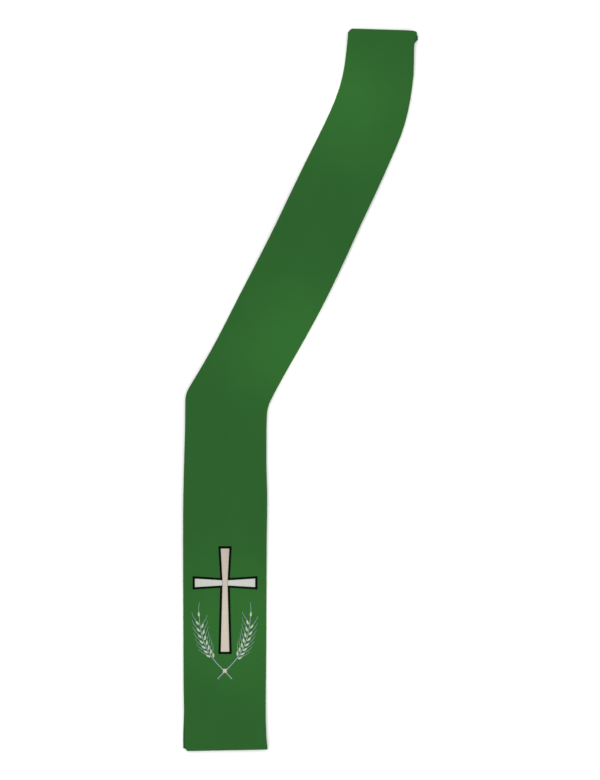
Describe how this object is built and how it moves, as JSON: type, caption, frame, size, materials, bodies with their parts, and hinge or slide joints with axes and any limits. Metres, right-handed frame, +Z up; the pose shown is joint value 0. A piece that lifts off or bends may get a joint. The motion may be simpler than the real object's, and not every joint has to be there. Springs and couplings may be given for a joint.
{
  "type": "deacon's stole, folded at the shoulder and laid flat",
  "caption": "Shaped cloth stole, folded in half at the shoulder and laid flat, bent at the hip, with a bordered cross sewn above the front hem.",
  "frame": {"origin": "on the plane the stole lies on, in the middle of its footprint", "axes": "+Z up out of the cloth's face, +Y from the hems to the shoulder fold, +X towards the shoulder side"},
  "size_m": [0.3944, 1.2134, 0.0082],
  "materials": {
    "green_cloth": "matt, fine twill weave",
    "black_satin": "satin stitch",
    "cream_satin": "satin stitch",
    "white_satin": "satin stitch",
    "pale_thread": "satin stitch"
  },
  "bodies": {
    "root": {"back_half": "green_cloth", "front_half": "green_cloth", "cross_border": "black_satin", "cross_upright": "cream_satin", "cross_arm_left": "white_satin", "cross_arm_right": "white_satin"}
  },
  "joints": []
}
